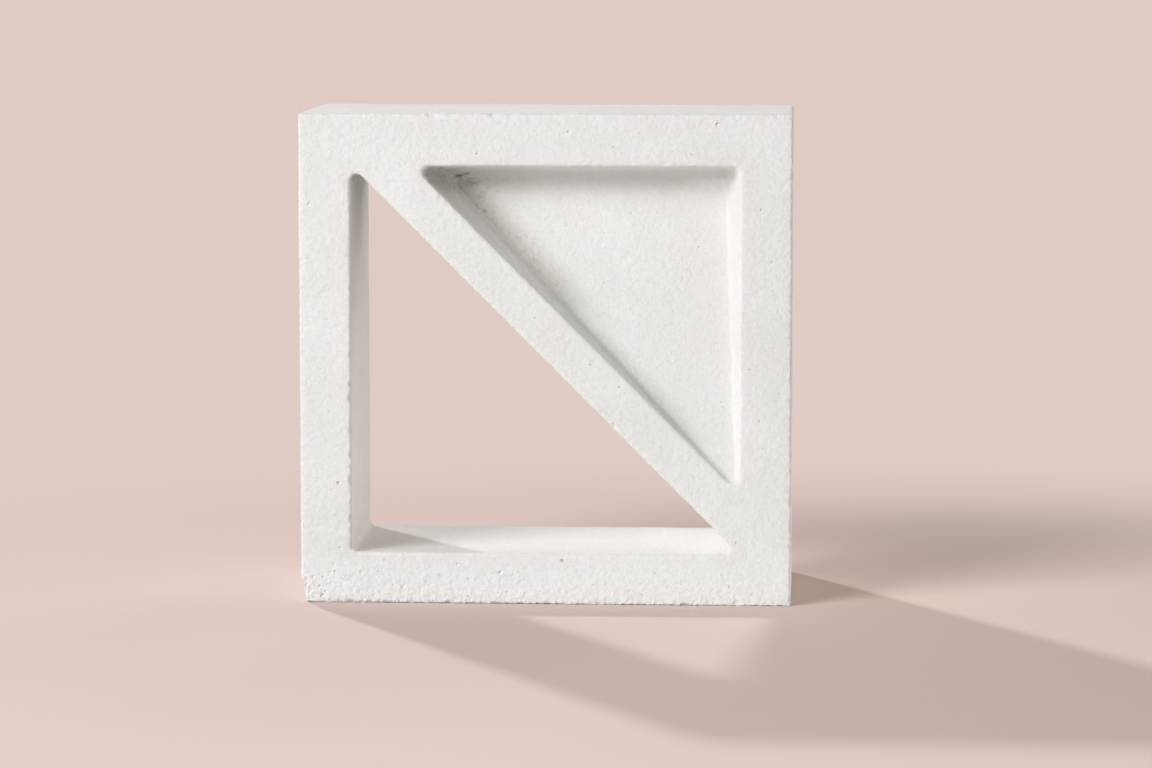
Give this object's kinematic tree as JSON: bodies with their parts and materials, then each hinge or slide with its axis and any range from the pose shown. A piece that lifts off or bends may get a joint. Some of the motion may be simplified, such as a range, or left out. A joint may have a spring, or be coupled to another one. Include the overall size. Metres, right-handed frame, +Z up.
{
  "type": "decorative screen block",
  "caption": "Square cast concrete screen wall block with a diagonal bar, an open triangle through it below the bar and a ramped triangular recess above the bar.",
  "frame": {"origin": "centre of the bottom bed face, where the block stands", "axes": "+X to the right across the face, +Y from the face into the block, +Z up; the face with the recess looks along -Y"},
  "size_m": [0.19, 0.09, 0.19],
  "materials": {
    "white_concrete": "cast white concrete, matt, fine sandy grain with small air pits"
  },
  "bodies": {
    "root": {"screen_block": "white_concrete"}
  },
  "joints": []
}
